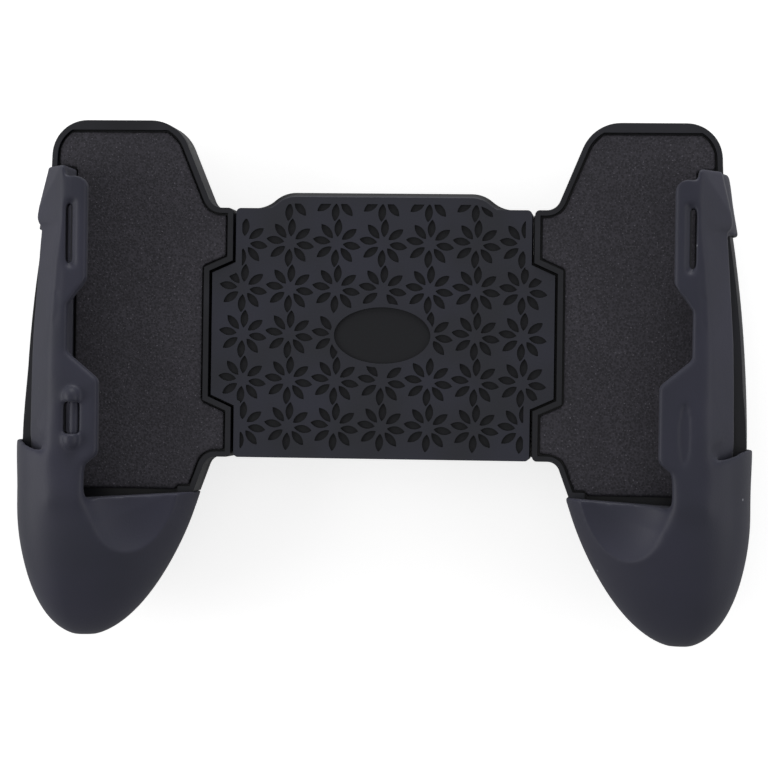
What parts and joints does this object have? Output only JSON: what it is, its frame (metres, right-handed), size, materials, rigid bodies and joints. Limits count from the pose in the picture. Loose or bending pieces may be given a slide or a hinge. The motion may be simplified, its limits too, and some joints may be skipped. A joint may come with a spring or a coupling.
{
  "type": "stretching phone grip",
  "caption": "Stretching game grip for a phone: a sprung centre housing between two horned side handles with foam pads and lips that hold the phone's ends.",
  "frame": {"origin": "under the middle of the whole object, on the surface that it rests on when it lies on its back", "axes": "+X along the stretch, to the right as the phone's screen is seen; +Y to the top edge, away from the horns; +Z out of the face that the phone lies on"},
  "size_m": [0.1542, 0.1084, 0.0336],
  "materials": {
    "black_shell": "satin moulded ABS",
    "pressed_skin": "matte moulded silicone with pressed rosettes",
    "silicone": "matte moulded silicone",
    "foam": "closed-cell foam with a fine speckled skin",
    "slide_plastic": "satin moulded acetal",
    "screw_steel": "zinc-plated steel",
    "spring_steel": "drawn spring wire"
  },
  "bodies": {
    "centre": {"centre_grip_skin": "pressed_skin", "centre_front_cover": "black_shell", "centre_rear_cover": "black_shell", "centre_screws": "screw_steel", "left_spring_upper": "spring_steel", "left_spring_lower": "spring_steel", "right_spring_upper": "spring_steel", "right_spring_lower": "spring_steel"},
    "left_wing": {"left_front_shell": "black_shell", "left_rear_shell": "black_shell", "left_foam_pad": "foam", "left_grip_sleeve": "silicone", "left_slide_plate": "slide_plastic", "left_slide_screws": "screw_steel", "left_shell_screws": "screw_steel", "left_clip_bar": "black_shell"},
    "right_wing": {"right_front_shell": "black_shell", "right_rear_shell": "black_shell", "right_foam_pad": "foam", "right_grip_sleeve": "silicone", "right_slide_plate": "slide_plastic", "right_slide_screws": "screw_steel", "right_shell_screws": "screw_steel"}
  },
  "joints": [
    {"name": "left_slide", "type": "slide", "parent": "centre", "child": "left_wing", "axis": [-1, 0, 0], "range_m": [0, 0.018], "stiffness_N_per_m": 150, "springref_m": -0.02, "deforming": ["left_spring_upper", "left_spring_lower"]},
    {"name": "right_slide", "type": "slide", "parent": "centre", "child": "right_wing", "axis": [1, 0, 0], "range_m": [0, 0.018], "stiffness_N_per_m": 150, "springref_m": -0.02, "deforming": ["right_spring_upper", "right_spring_lower"]}
  ]
}
